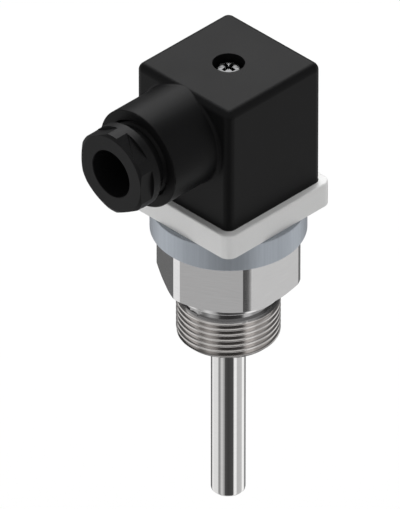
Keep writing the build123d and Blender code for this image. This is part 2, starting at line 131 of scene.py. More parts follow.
def band_node(tree, value, low, high):
    """A smooth step of a socket's value from 0 at low to 1 at high, as its output socket."""
    node = add_node(tree, "ShaderNodeMapRange", interpolation_type="SMOOTHSTEP")
    node.inputs["From Min"].default_value = low
    node.inputs["From Max"].default_value = high
    tree.links.new(value, node.inputs["Value"])
    return node.outputs[0]


def mix_node(tree, factor, first, second, **settings):
    """A colour mix of sockets or colours, returned as its output socket."""
    node = add_node(tree, "ShaderNodeMix", data_type="RGBA", **settings)
    for label, value in (("Factor", factor), ("A", first), ("B", second)):
        if isinstance(value, float):
            node.inputs[label].default_value = value
        elif isinstance(value, tuple):
            node.inputs[label].default_value = (*value, 1)
        else:
            tree.links.new(value, node.inputs[label])
    return node.outputs["Result"]


def grey(level):
    """A grey as a colour."""
    return (level, level, level)


# Panels round the sensor, as (degrees from the camera's direction, radiance)
panels = (
    (-180, 0.10),
    (-152, 0.16),
    (-134, 0.22),
    (-128, 1.42),
    (-121, 1.38),
    (-118, 1.10),
    (-73, 1.10),
    (-66, 0.40),
    (-58, 0.40),
    (-44, 0.95),
    (-38, 0.80),
    (-31, 0.58),
    (-25, 0.45),
    (-21, 0.10),
    (0, 0.07),
    (33, 0.10),
    (40, 1.30),
    (55, 1.30),
    (61, 0.72),
    (100, 0.78),
    (105, 1.40),
    (126, 1.30),
    (134, 0.40),
    (150, 0.18),
    (180, 0.10),
)
# From here on a level is a share of the whole sky's strength. The dome and the soft box's
# sides go by (place in the turn, level), with the camera at 0.5. Edges are heights or, for
# the cap, cosines from its centre.
sky_scale = 4.0
dome = ((0, 0.13), (0.25, 0.13), (0.38, 0.22), (0.62, 0.22), (0.75, 0.16), (1, 0.13))
box_sides = ((0, 1), (0.07, 0.85), (0.11, 0), (0.89, 0), (0.93, 0.85), (1, 1))
box_level = 1.1
cap_level = 0.03
nadir_level = 0.22
horizon_blur = (-0.12, 0.12)
cap_edge = (0.46, 0.60)
box_edge = (0.28, 0.44)
nadir_edge = (-0.74, -0.84)
cap_tilt = math.radians(30)
cap_centre = (
    -math.sin(cap_tilt) * math.cos(view_round),
    -math.sin(cap_tilt) * math.sin(view_round),
    math.cos(cap_tilt),
)
direction = add_node(tree, "ShaderNodeTexCoord").outputs["Generated"]
split = add_node(tree, "ShaderNodeSeparateXYZ")
tree.links.new(direction, split.inputs[0])
height = split.outputs[2]
bearing = math_node(tree, "ARCTAN2", split.outputs[1], split.outputs[0])
turns = math_node(tree, "DIVIDE", math_node(tree, "SUBTRACT", bearing, view_round), math.tau)
place = math_node(tree, "FRACT", math_node(tree, "ADD", turns, 1.5))
panel_stops = [((degrees + 180) / 360, level / sky_scale) for degrees, level in panels]
sky = mix_node(
    tree,
    band_node(tree, height, *horizon_blur),
    ramp_node(tree, place, panel_stops),
    ramp_node(tree, place, dome),
)
toward_cap = add_node(tree, "ShaderNodeVectorMath", operation="DOT_PRODUCT")
toward_cap.inputs[1].default_value = cap_centre
tree.links.new(direction, toward_cap.inputs[0])
in_cap = band_node(tree, toward_cap.outputs["Value"], *cap_edge)
sky = mix_node(tree, in_cap, sky, grey(cap_level))
in_box = math_node(
    tree, "MULTIPLY", ramp_node(tree, place, box_sides), band_node(tree, height, *box_edge)
)
sky = mix_node(tree, in_box, sky, grey(box_level))
sky = mix_node(tree, band_node(tree, height, *nadir_edge), sky, grey(nadir_level))
mirror_sky = add_node(tree, "ShaderNodeBackground")
mirror_sky.inputs["Strength"].default_value = sky_scale
tree.links.new(sky, mirror_sky.inputs["Color"])
matt_sky = add_node(tree, "ShaderNodeBackground")
matt_sky.inputs["Color"].default_value = (1, 1, 1, 1)
matt_sky.inputs["Strength"].default_value = 0.5
white_sky = add_node(tree, "ShaderNodeBackground")
white_sky.inputs["Color"].default_value = (1, 1, 1, 1)
rays = add_node(tree, "ShaderNodeLightPath")
matt_or_mirror = add_node(tree, "ShaderNodeMixShader")
tree.links.new(rays.outputs["Is Glossy Ray"], matt_or_mirror.inputs[0])
tree.links.new(matt_sky.outputs[0], matt_or_mirror.inputs[1])
tree.links.new(mirror_sky.outputs[0], matt_or_mirror.inputs[2])
or_white = add_node(tree, "ShaderNodeMixShader")
camera_or_glass = math_node(
    tree, "MAXIMUM", rays.outputs["Is Camera Ray"], rays.outputs["Is Transmission Ray"]
)
tree.links.new(camera_or_glass, or_white.inputs[0])
tree.links.new(matt_or_mirror.outputs[0], or_white.inputs[1])
tree.links.new(white_sky.outputs[0], or_white.inputs[2])
sky_out = add_node(tree, "ShaderNodeOutputWorld")
tree.links.new(or_white.outputs[0], sky_out.inputs[0])

# Lamps
# One wide soft box over and behind the sensor, and a weaker one from the cable's side.
lamps = (
    ("top_box", Vector((-0.25, 0.35, 1.1)), 0.9, 11.0),
    ("side_box", Vector((-0.5, -1.1, 0.5)), 0.8, 2.0),
)
for name, spot, size, watts in lamps:
    lamp_data = bpy.data.lights.new(name, "AREA")
    lamp_data.shape = "DISK"
    lamp_data.size = size
    lamp_data.energy = watts
    lamp = bpy.data.objects.new(name, lamp_data)
    lamp.location = spot
    lamp.rotation_euler = (-spot).to_track_quat("-Z", "Y").to_euler()
    lamp.visible_glossy = False
    bpy.context.scene.collection.objects.link(lamp)


def start_fresh(piece=None):
    """Leave edit mode, deselect everything, and take up the piece to work on."""
    if bpy.context.object and bpy.context.object.mode != "OBJECT":
        bpy.ops.object.mode_set(mode="OBJECT")
    bpy.ops.object.select_all(action="DESELECT")
    if piece:
        bpy.context.view_layer.objects.active = piece
        piece.select_set(True)


def settle(name=None):
    """Name the active piece, fix its place, turn and scale in its mesh, and return it."""
    piece = bpy.context.object
    if name:
        piece.name = name
    bpy.ops.object.transform_apply(location=True, rotation=True, scale=True)
    return piece


# Floor
# A pale sheet well below the probe's tip. The camera sees it nearly white, with the shadow,
# further out it goes over into the white sky, and from underneath it is clear.
floor_drop = 70 * mm
floor_size = 8.0
floor_fade = (0.1, 0.6)
floor_glow = (0.75, 1.0)
start_fresh()
bpy.ops.mesh.primitive_plane_add(size=floor_size, location=(0, 0, cad_box[0][2] - floor_drop))
floor = bpy.context.object
floor.name = "floor"
floor.visible_glossy = False
floor_look = bpy.data.materials.new("pale_floor")
floor_look.use_nodes = True
tree = floor_look.node_tree
tree.nodes.clear()
paint = add_node(tree, "ShaderNodeBsdfDiffuse")
paint.inputs["Color"].default_value = (0.9, 0.9, 0.9, 1)
glow = add_node(tree, "ShaderNodeEmission")
clear = add_node(tree, "ShaderNodeBsdfTransparent")
rays = add_node(tree, "ShaderNodeLightPath")
painted = add_node(tree, "ShaderNodeMixShader")
outward = add_node(tree, "ShaderNodeVectorMath", operation="LENGTH")
tree.links.new(add_node(tree, "ShaderNodeTexCoord").outputs["Object"], outward.inputs[0])
faded = band_node(tree, outward.outputs["Value"], *floor_fade)
level = math_node(tree, "MULTIPLY_ADD", faded, floor_glow[1] - floor_glow[0], floor_glow[0])
seen = math_node(tree, "MULTIPLY", rays.outputs["Is Camera Ray"], level)
tree.links.new(seen, painted.inputs[0])
tree.links.new(paint.outputs[0], painted.inputs[1])
tree.links.new(glow.outputs[0], painted.inputs[2])
one_sided = add_node(tree, "ShaderNodeMixShader")
tree.links.new(
    add_node(tree, "ShaderNodeNewGeometry").outputs["Backfacing"], one_sided.inputs[0]
)
tree.links.new(painted.outputs[0], one_sided.inputs[1])
tree.links.new(clear.outputs[0], one_sided.inputs[2])
floor_out = add_node(tree, "ShaderNodeOutputMaterial")
tree.links.new(one_sided.outputs[0], floor_out.inputs[0])
floor.data.materials.append(floor_look)

# Process fitting
# Turned from hexagon bar in stainless steel: hexagon with turned corners, sealing collar,
# thread relief and a 24 mm thread of 1.5 mm pitch. The bore holds the tube and the insert.
fitting_low, fitting_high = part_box("process_fitting")
nose = fitting_low[2]
neck_top = fitting_high[2]
hex_width = 30.0 * mm
hex_corner_r = 16.75 * mm
hex_height = 13.5 * mm
hex_chamfer = (1.6 * mm, 1.0 * mm)
collar_r = 12.9 * mm
collar_bottom = -2.5 * mm
relief_r = 10.9 * mm
thread_top = -5.2 * mm
thread_r = 12.0 * mm
thread_pitch = 1.5 * mm
thread_depth = 0.92 * mm
collar_round = 0.25 * mm
thread_chamfer = 0.9 * mm
thread_runout = 0.45 * mm
thread_early = 1.83
edge_break = 0.12 * mm
neck_r = 11.008 * mm
well_r = 9.308 * mm
well_floor = 6.0 * mm
circlip_groove = (9.958 * mm, 8.5 * mm, 9.55 * mm)
tube_socket_r = 3.62 * mm
tube_socket_top = 2.0 * mm
insert_bore_r = 2.9 * mm
overcut = 0.5 * mm
overlap = 0.05 * mm
hair = 0.01 * mm


def set_down(piece, centre, along):
    """Lay a piece that was made on the Z axis along its own axis, and fix its place."""
    start_fresh(piece)
    if along == "Y":
        piece.rotation_euler = (math.radians(90), 0, 0)
    piece.location = centre
    return settle()


def turn(name, outline, hollow=False, centre=(0, 0, 0), along="Z", sides=128):
    """Turn an outline of (radius, height) points: a circle is extruded from one point to the
    next. A hollow piece's last ring is bridged to its first, and a solid one is capped."""
    start_fresh()
    here_r, here_h = outline[0]
    bpy.ops.mesh.primitive_circle_add(
        vertices=sides,
        radius=here_r,
        fill_type="NOTHING" if hollow else "NGON",
        location=(0, 0, here_h),
    )
    piece = settle(name)
    bpy.ops.object.mode_set(mode="EDIT")
    bpy.ops.mesh.select_all(action="SELECT")
    for radius, height in outline[1:]:
        bpy.ops.mesh.extrude_region_move(
            TRANSFORM_OT_translate={"value": (0, 0, height - here_h)}
        )
        grow = radius / here_r
        bpy.ops.transform.resize(value=(grow, grow, 1), center_override=(0, 0, height))
        here_r, here_h = radius, height
    if hollow:
        bpy.ops.mesh.select_all(action="SELECT")
        bpy.ops.mesh.region_to_loop()
        bpy.ops.mesh.bridge_edge_loops()
    bpy.ops.mesh.select_all(action="SELECT")
    bpy.ops.mesh.normals_make_consistent(inside=False)
    bpy.ops.object.mode_set(mode="OBJECT")
    return set_down(piece, centre, along)


def six_sides(name, width, low, high, centre=(0, 0, 0), along="Z"):
    """A hexagon bar with two flats square to X, from low to high along its axis."""
    start_fresh()
    bpy.ops.mesh.primitive_cylinder_add(
        vertices=6,
        radius=width / math.sqrt(3),
        depth=high - low,
        location=(0, 0, (low + high) / 2),
    )
    return set_down(settle(name), centre, along)


def combine(piece, tool, operation):
    """Join, cut or keep the overlap of a piece with a tool, which is then thrown away."""
    start_fresh(piece)
    cut = piece.modifiers.new("cut", "BOOLEAN")
    cut.operation = operation
    cut.solver = "EXACT"
    cut.object = tool
    bpy.ops.object.modifier_apply(modifier="cut")
    bpy.data.objects.remove(tool)
    return piece


one_plane = math.radians(0.2)
leads_by = 15 * mm * mm


def shade(piece, angle):
    """Join the active piece's faces that lie in one plane, and shade it smooth across edges
    blunter than an angle. A face much larger than its neighbours keeps its own normal."""
    bpy.ops.object.mode_set(mode="EDIT")
    bpy.ops.mesh.select_all(action="SELECT")
    bpy.ops.mesh.dissolve_limited(angle_limit=one_plane)
    bpy.ops.object.mode_set(mode="OBJECT")
    bpy.ops.object.shade_smooth_by_angle(angle=math.radians(angle))
    weigh = piece.modifiers.new("weigh", "WEIGHTED_NORMAL")
    weigh.keep_sharp = True
    weigh.weight = 100
    weigh.thresh = leads_by
    bpy.ops.object.modifier_apply(modifier="weigh")
    return piece


def soften(piece, width, steps=2, sharpest=20):
    """Break the edges sharper than an angle with a small round, or with none where the width
    is 0, and shade the rest smooth. The rounds' own edges need another 15 degrees."""
    start_fresh(piece)
    if width:
        edge = piece.modifiers.new("edge", "BEVEL")
        edge.width = width
        edge.segments = steps
        edge.limit_method = "ANGLE"
        edge.angle_limit = math.radians(sharpest)
        edge.use_clamp_overlap = True
        edge.harden_normals = False
        bpy.ops.object.modifier_apply(modifier="edge")
    return shade(piece, sharpest + 15 if width else sharpest)


def cut_thread(
    name, outer_r, depth, pitch, low, high, early=2.01, steps=96, centre=(0, 0, 0), along="Z"
):
    """A threaded bar: one pitch of the thread's outline, a flat root and a round crest between
    60-degree flanks, is wound up from some turns early, and both ends are trimmed flat."""
    root_r = outer_r - depth
    crest_round = pitch / 4
    crest_half = 60
    flank_slope = math.tan(math.radians(90 - crest_half))
    flank_height = (depth - crest_round / 2) * flank_slope
    crest_height = crest_round * math.sin(math.radians(crest_half))
    root = max(pitch / 2 - crest_height - flank_height, pitch / 200)
    crest = [
        (
            outer_r - crest_round * (1 - math.cos(math.radians(angle))),
            pitch / 2 + crest_round * math.sin(math.radians(angle)),
        )
        for angle in range(-crest_half, crest_half + 1, 15)
    ]
    outline = ((root_r, 0), (root_r, root), *crest, (root_r, pitch - root), (root_r, pitch))
    start = low - early * pitch
    start_fresh()
    bpy.ops.mesh.primitive_plane_add(size=pitch, location=(root_r, 0, start))
    piece = settle(name)
    bpy.ops.object.mode_set(mode="EDIT")
    bpy.ops.mesh.select_all(action="SELECT")
    bpy.ops.mesh.merge(type="CENTER")
    here_r, here_h = outline[0]
    for radius, height in outline[1:]:
        bpy.ops.mesh.extrude_vertices_move(
            TRANSFORM_OT_translate={"value": (radius - here_r, 0, height - here_h)}
        )
        here_r, here_h = radius, height
    bpy.ops.object.mode_set(mode="OBJECT")
    wind = piece.modifiers.new("wind", "SCREW")
    wind.axis = "Z"
    wind.angle = math.tau
    wind.screw_offset = pitch
    wind.iterations = math.ceil((high - start) / pitch) + 2
    wind.steps = steps
    wind.render_steps = steps
    bpy.ops.object.modifier_apply(modifier="wind")
    bpy.ops.object.mode_set(mode="EDIT")
    bpy.ops.mesh.select_all(action="SELECT")
    bpy.ops.mesh.remove_doubles(threshold=pitch / 2000)
    for height, above in ((low, False), (high, True)):
        bpy.ops.mesh.select_all(action="SELECT")
        bpy.ops.mesh.bisect(
            plane_co=(0, 0, height),
            plane_no=(0, 0, 1),
            use_fill=True,
            clear_inner=not above,
            clear_outer=above,
            threshold=pitch / 10000,
        )
    bpy.ops.mesh.select_all(action="SELECT")
    bpy.ops.mesh.normals_make_consistent(inside=False)
    bpy.ops.object.mode_set(mode="OBJECT")
    return set_down(piece, centre, along)


fitting = six_sides("hexagon_fitting", hex_width, 0, hex_height)
hex_turning = turn(
    "hex_turning",
    (
        (hex_corner_r - hex_chamfer[0], 0),
        (hex_corner_r, hex_chamfer[1]),
        (hex_corner_r, hex_height),
    ),
    sides=192,
)
fitting = combine(fitting, hex_turning, "INTERSECT")
collar_edge = [
    (
        collar_r - collar_round * (1 - math.sin(math.radians(angle))),
        collar_bottom + collar_round * (1 - math.cos(math.radians(angle))),
    )
    for angle in range(0, 91, 18)
]
shoulders = turn(
    "shoulders",
    (
        (relief_r, thread_top - thread_pitch / 2),
        (relief_r, collar_bottom),
        *collar_edge,
        (collar_r, hex_chamfer[1]),
        (neck_r, hex_chamfer[1]),
        (neck_r, neck_top),
    ),
)
fitting = combine(fitting, shoulders, "UNION")
fitting = soften(fitting, edge_break)
thread = cut_thread(
    "thread", thread_r, thread_depth, thread_pitch, nose, thread_top, early=thread_early
)
thread_blank = turn(
    "thread_blank",
    (
        (thread_r - thread_chamfer - overcut, nose - overcut),
        (thread_r + overlap, nose + thread_chamfer + overlap),
        (thread_r + overlap, thread_top - thread_runout),
        (relief_r, thread_top + thread_runout),
    ),
    sides=192,
)
thread = combine(thread, thread_blank, "INTERSECT")
fitting = combine(fitting, thread, "UNION")
bore = turn(
    "bore",
    (
        (tube_socket_r, nose - overcut),
        (tube_socket_r, tube_socket_top),
        (insert_bore_r, tube_socket_top),
        (insert_bore_r, well_floor),
        (well_r, well_floor),
        (well_r, circlip_groove[1]),
        (circlip_groove[0], circlip_groove[1]),
        (circlip_groove[0], circlip_groove[2]),
        (well_r, circlip_groove[2]),
        (well_r, neck_top + overcut),
    ),
)
fitting = combine(fitting, bore, "DIFFERENCE")
fitting = soften(fitting, 0)


def effect(name, inputs, outputs):
    """Start a node group with plain number inputs and outputs, and return its tree and ends."""
    group = bpy.data.node_groups.new(name, "ShaderNodeTree")
    for label, value in inputs.items():
        socket = group.interface.new_socket(label, in_out="INPUT", socket_type="NodeSocketFloat")
        socket.default_value = value
    for label in outputs:
        group.interface.new_socket(label, in_out="OUTPUT", socket_type="NodeSocketFloat")
    return group, add_node(group, "NodeGroupInput"), add_node(group, "NodeGroupOutput")


# Tool marks: a noise drawn out across or along the Z axis, so it makes turning rings where
# Along is large and upright streaks where Across is. It gives roughness, height and shade.
tool_marks, marks_in, marks_out = effect(
    "tool_marks",
    {"Across": 300.0, "Along": 9000.0, "Roughness": 0.2, "Spread": 0.1},
    ("Roughness", "Height", "Shade"),
)
marks_place = add_node(tool_marks, "ShaderNodeSeparateXYZ")
tool_marks.links.new(
    add_node(tool_marks, "ShaderNodeTexCoord").outputs["Object"], marks_place.inputs[0]
)
marks_at = add_node(tool_marks, "ShaderNodeCombineXYZ")
for number, label in enumerate(("Across", "Across", "Along")):
    drawn = math_node(
        tool_marks, "MULTIPLY", marks_place.outputs[number], marks_in.outputs[label]
    )
    tool_marks.links.new(drawn, marks_at.inputs[number])
lines = add_node(tool_marks, "ShaderNodeTexNoise")
lines.inputs["Scale"].default_value = 1.0
lines.inputs["Detail"].default_value = 3.0
tool_marks.links.new(marks_at.outputs[0], lines.inputs["Vector"])
swing = math_node(
    tool_marks,
    "MULTIPLY",
    math_node(tool_marks, "SUBTRACT", lines.outputs[0], 0.5),
    marks_in.outputs["Spread"],
)
tool_marks.links.new(
    math_node(tool_marks, "ADD", swing, marks_in.outputs["Roughness"]),
    marks_out.inputs["Roughness"],
)
tool_marks.links.new(lines.outputs[0], marks_out.inputs["Height"])
tool_marks.links.new(lines.outputs[0], marks_out.inputs["Shade"])


def finished(name, dark, light, effect_group, settings, relief, metallic=0.0, gloss=0.5):
    """A finish whose colour, roughness and fine relief all follow one effect."""
    look = bpy.data.materials.new(name)
    look.use_nodes = True
    look.diffuse_color = (*light, 1)
    tree = look.node_tree
    shader = tree.nodes["Principled BSDF"]
    shader.inputs["Metallic"].default_value = metallic
    shader.inputs["Specular IOR Level"].default_value = gloss
    marks = add_node(tree, "ShaderNodeGroup", node_tree=effect_group)
    for label, value in settings.items():
        marks.inputs[label].default_value = value
    colour = mix_node(tree, marks.outputs["Shade"], dark, light)
    tree.links.new(colour, shader.inputs["Base Color"])
    tree.links.new(marks.outputs["Roughness"], shader.inputs["Roughness"])
    bump = add_node(tree, "ShaderNodeBump")
    bump.inputs["Distance"].default_value = relief
    tree.links.new(marks.outputs["Height"], bump.inputs["Height"])
    tree.links.new(bump.outputs[0], shader.inputs["Normal"])
    return look


def dress(piece, look, body, stands_for=None):
    """Give a new piece its finish and its body, and hide the solid from the frame that it stands
    for.
    """
    piece.data.materials.clear()
    piece.data.materials.append(look)
    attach(piece, body)
    if stands_for:
        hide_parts(stands_for)


turned_steel = finished(
    "turned_steel",
    (0.595, 0.59, 0.59),
    (0.72, 0.715, 0.715),
    tool_marks,
    {"Across": 200.0, "Along": 7000.0, "Roughness": 0.15, "Spread": 0.10},
    0.002 * mm,
    metallic=1.0,
)


def shade_band(look, low, high, blur, tint):
    """Tint a finish between two heights by multiplying its colour with a tint there."""
    tree = look.node_tree
    shader = tree.nodes["Principled BSDF"]
    colour = shader.inputs["Base Color"].links[0].from_socket
    spot = add_node(tree, "ShaderNodeSeparateXYZ")
    tree.links.new(add_node(tree, "ShaderNodeTexCoord").outputs["Object"], spot.inputs[0])
    above = band_node(tree, spot.outputs[2], low - blur, low + blur)
    below = band_node(tree, spot.outputs[2], high + blur, high - blur)
    tinted = mix_node(tree, 1.0, colour, tint, blend_type="MULTIPLY")
    inside = math_node(tree, "MULTIPLY", above, below)
    tree.links.new(mix_node(tree, inside, colour, tinted), shader.inputs["Base Color"])


relief_bottom = thread_top - 0.3 * mm
lead_in_top = nose + 1.2 * mm
# Painted shade: the relief between the thread and the collar is darkened, standing in for the
# shade and dark reflections of this deep groove.
shade_band(turned_steel, relief_bottom, collar_bottom, 0.1 * mm, grey(0.53))
# The thread is tinted a little darker and warmer.
shade_band(turned_steel, nose - overcut, relief_bottom, 0.1 * mm, (0.86, 0.835, 0.815))
# Painted shadow: the lead-in chamfer at the nose is darkened, standing in for the shadow it lies
# in.
shade_band(turned_steel, nose - overcut, lead_in_top, 0.2 * mm, grey(0.5))
dress(fitting, turned_steel, "root", "process_fitting")

# Protection tube
# Drawn stainless tube, 8 mm across, polished outside and closed at the tip. Its end is turned
# down, pressed into the nose of the fitting and welded there.
tube_low, tube_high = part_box("protection_tube")
tube_r = tube_high[0]
tube_bore_r = 3.0 * mm
tube_seat_r = 3.6 * mm
tube_tip = 2.0 * mm
tip_edge = 0.6 * mm
tube = turn(
    "probe_tube",
    (
        (tube_r - tip_edge, tube_low[2]),
        (tube_r - tip_edge * 0.45, tube_low[2] + tip_edge * 0.12),
        (tube_r - tip_edge * 0.12, tube_low[2] + tip_edge * 0.45),
        (tube_r, tube_low[2] + tip_edge),
        (tube_r, nose),
        (tube_seat_r, nose),
        (tube_seat_r, tube_high[2]),
    ),
)
hollow = turn(
    "hollow",
    ((tube_bore_r, tube_low[2] + tube_tip), (tube_bore_r, tube_high[2] + overcut)),
)
tube = combine(tube, hollow, "DIFFERENCE")
tube = soften(tube, 0, sharpest=30)
polished_steel = finished(
    "polished_steel",
    (0.57, 0.565, 0.56),
    (0.68, 0.675, 0.67),
    tool_marks,
    {"Across": 300.0, "Along": 5000.0, "Roughness": 0.07, "Spread": 0.05},
    0.001 * mm,
    metallic=1.0,
)
dress(tube, polished_steel, "root", "protection_tube")

# Head ring
# Turned aluminium ring, blue-grey, pushed over the fitting's neck. It has a groove for the
# seal in its top face and four tapped holes for the screws of the plug's base.
ring_low, ring_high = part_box("head_ring")
ring_r = ring_high[0]
ring_edge = 0.25 * mm
base_bottom = ring_high[2]
seal_groove = (14.498 * mm, 15.798 * mm, 1.1 * mm)
base_screw_spacing = 18.0 * mm
tapping_r = 1.27 * mm
tapping_depth = 3.5 * mm
ring_bore_r = neck_r + 0.02 * mm
ring = turn(
    "head_ring_turned",
    (
        (ring_bore_r, ring_low[2]),
        (ring_r - ring_edge, ring_low[2]),
        (ring_r, ring_low[2] + ring_edge),
        (ring_r, base_bottom - ring_edge),
        (ring_r - ring_edge, base_bottom),
        (seal_groove[1], base_bottom),
        (seal_groove[1], base_bottom - seal_groove[2]),
        (seal_groove[0], base_bottom - seal_groove[2]),
        (seal_groove[0], base_bottom),
        (ring_bore_r, base_bottom),
    ),
    hollow=True,
    sides=192,
)
screw_corners = [
    (x * base_screw_spacing / 2, y * base_screw_spacing / 2, 0)
    for x in (-1, 1)
    for y in (-1, 1)
]
for corner in screw_corners:
    tapping = turn(
        "tapping",
        ((tapping_r, base_bottom - tapping_depth), (tapping_r, base_bottom + overcut)),
        centre=corner,
        sides=32,
    )
    ring = combine(ring, tapping, "DIFFERENCE")
ring = soften(ring, 0.05 * mm, steps=1)
grey_anodised = finished(
    "grey_anodised",
    (0.33, 0.36, 0.40),
    (0.46, 0.495, 0.54),
    tool_marks,
    {"Across": 1800.0, "Along": 40.0, "Roughness": 0.48, "Spread": 0.12},
    0.003 * mm,
    metallic=0.75,
)
dress(ring, grey_anodised, "root", "head_ring")

# Seal under the base
# Rubber ring, squeezed flat in the head ring's groove by the plug's base.

# Mould grain: fine noise gives height and shade, and wide soft patches change the roughness
mould_grain, grain_in, grain_out = effect(
    "mould_grain",
    {"Scale": 4000.0, "Roughness": 0.6, "Spread": 0.1},
    ("Roughness", "Height", "Shade"),
)
grain_noise = add_node(mould_grain, "ShaderNodeTexNoise")
grain_noise.inputs["Detail"].default_value = 4.0
mould_grain.links.new(
    add_node(mould_grain, "ShaderNodeTexCoord").outputs["Object"],
    grain_noise.inputs["Vector"],
)
mould_grain.links.new(grain_in.outputs["Scale"], grain_noise.inputs["Scale"])
patches = add_node(mould_grain, "ShaderNodeTexNoise")
patches.inputs["Scale"].default_value = 90.0
patches.inputs["Detail"].default_value = 2.0
mould_grain.links.new(
    add_node(mould_grain, "ShaderNodeTexCoord").outputs["Object"], patches.inputs["Vector"]
)
swing = math_node(
    mould_grain,
    "MULTIPLY",
    math_node(mould_grain, "SUBTRACT", patches.outputs[0], 0.5),
    grain_in.outputs["Spread"],
)
mould_grain.links.new(
    math_node(mould_grain, "ADD", swing, grain_in.outputs["Roughness"]),
    grain_out.inputs["Roughness"],
)
mould_grain.links.new(grain_noise.outputs[0], grain_out.inputs["Height"])
mould_grain.links.new(grain_noise.outputs[0], grain_out.inputs["Shade"])
black_rubber = finished(
    "black_rubber",
    (0.010, 0.010, 0.010),
    (0.022, 0.022, 0.022),
    mould_grain,
    {"Scale": 5000.0, "Roughness": 0.72, "Spread": 0.12},
    0.01 * mm,
)


def refinish(node, look):
    """Give a solid carried over from the frame a better finish."""
    for place in nodes[node].material_slots:
        place.material = look


refinish("base_seal", black_rubber)

# Plug base
# Square moulding in pale grey plastic, screwed down on the ring, with a pillar for the nut,
# slots for the blades and a well underneath where the leads are soldered.
base_low, base_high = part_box("connector_base")
base_width = base_high[0] - base_low[0]
base_corner_r = 2.6 * mm
base_edge = 0.4 * mm
pillar_r = 3.6 * mm
pillar_top = base_high[2]
base_top = pillar_top - 2.8 * mm
solder_well = (10.2 * mm, 1.2 * mm)
nut_hole = (2.32 * mm, 6.8 * mm)
blade_r = 9.0 * mm
blade_slot = (0.84 * mm, 6.34 * mm)
screw_hole_r = 1.4 * mm
countersink_r = 2.4 * mm
countersink = countersink_r - screw_hole_r


def block(name, low, high):
    """A plain block between two corners, as stock to be shaped."""
    start_fresh()
    middle = [(a + b) / 2 for a, b in zip(low, high)]
    bpy.ops.mesh.primitive_cube_add(size=1, location=middle)
    bpy.context.object.scale = [b - a for a, b in zip(low, high)]
    return settle(name)


def turn_round(piece, degrees):
    """Turn a piece about the Z axis."""
    piece.rotation_euler = (0, 0, math.radians(degrees))
    start_fresh(piece)
    return settle()


def bevel_edges(piece, chosen, width, steps):
    """Round the edges whose two ends pass a test."""
    start_fresh(piece)
    bpy.ops.object.mode_set(mode="EDIT")
    bpy.ops.mesh.select_mode(type="EDGE")
    bpy.ops.mesh.select_all(action="DESELECT")
    bpy.ops.object.mode_set(mode="OBJECT")
    points = piece.data.vertices
    for edge in piece.data.edges:
        a, b = (points[i].co for i in edge.vertices)
        edge.select = chosen(a, b)
    bpy.ops.object.mode_set(mode="EDIT")
    bpy.ops.mesh.bevel(offset=width, segments=steps, profile=0.5, affect="EDGES")
    bpy.ops.mesh.select_mode(type="VERT")
    bpy.ops.object.mode_set(mode="OBJECT")
    return piece


half = base_width / 2
base = block("plug_base", (-half, -half, base_bottom), (half, half, base_top))
base = bevel_edges(base, lambda a, b: abs(a.z - b.z) > hair, base_corner_r, 10)
base = bevel_edges(base, lambda a, b: min(a.z, b.z) > base_top - hair, base_edge, 4)
pillar = turn(
    "pillar", ((pillar_r, base_top - overcut), (pillar_r, pillar_top)), sides=64
)
base = combine(base, pillar, "UNION")
cuts = [
    turn(
        "solder_well",
        (
            (solder_well[0], base_bottom - overcut),
            (solder_well[0], base_bottom + solder_well[1]),
        ),
    ),
    turn(
        "nut_hole",
        ((nut_hole[0], pillar_top - nut_hole[1]), (nut_hole[0], pillar_top + overcut)),
        sides=48,
    ),
]
for corner in screw_corners:
    cuts.append(
        turn(
            "screw_hole",
            (
                (screw_hole_r, base_bottom - overcut),
                (screw_hole_r, base_top - countersink),
                (countersink_r, base_top),
                (countersink_r, base_top + overcut),
            ),
            centre=corner,
            sides=48,
        )
    )
for angle in (0, 90, 180, 270):
    slot_cut = block(
        "blade_slot",
        (blade_r - blade_slot[0] / 2, -blade_slot[1] / 2, base_bottom),
        (blade_r + blade_slot[0] / 2, blade_slot[1] / 2, base_top + overcut),
    )
    cuts.append(turn_round(slot_cut, angle))
for tool in cuts:
    base = combine(base, tool, "DIFFERENCE")
base = soften(base, 0, sharpest=32)
pale_plastic = finished(
    "pale_plastic",
    (0.66, 0.66, 0.655),
    (0.74, 0.74, 0.735),
    mould_grain,
    {"Scale": 6000.0, "Roughness": 0.32, "Spread": 0.10},
    0.006 * mm,
    gloss=0.5,
)
dress(base, pale_plastic, "root", "connector_base")

# Nut, base screws and blades
# Brass nut and tinned brass blades, moulded into the base, and zinc-plated screws that
# hold the base to the ring.
bright_brass = finished(
    "bright_brass",
    (0.66, 0.47, 0.20),
    (0.76, 0.58, 0.28),
    tool_marks,
    {"Across": 400.0, "Along": 8000.0, "Roughness": 0.24, "Spread": 0.12},
    0.002 * mm,
    metallic=1.0,
)
tinned_brass = finished(
    "tinned_brass",
    (0.62, 0.61, 0.56),
    (0.72, 0.71, 0.67),
    tool_marks,
    {"Across": 5000.0, "Along": 300.0, "Roughness": 0.30, "Spread": 0.10},
    0.002 * mm,
    metallic=1.0,
)
bright_zinc = finished(
    "bright_zinc",
    (0.50, 0.50, 0.51),
    (0.62, 0.62, 0.62),
    tool_marks,
    {"Across": 900.0, "Along": 900.0, "Roughness": 0.22, "Spread": 0.10},
    0.002 * mm,
    metallic=1.0,
)
refinish("threaded_insert", bright_brass)
refinish("base_screws", bright_zinc)
for blade in ("pin_1", "pin_2", "pin_3", "earth_pin"):
    refinish(blade, tinned_brass)

# Profile gasket
# Flat rubber gasket under the plug, a little wider than it, with a lip inside its wall.
refinish("profile_gasket", black_rubber)

# Plug housing
# Square moulding in black plastic, open below, with the gland's boss on one side, a sunk
# screw well in the top and a sleeve inside that carries the screw down to the block.


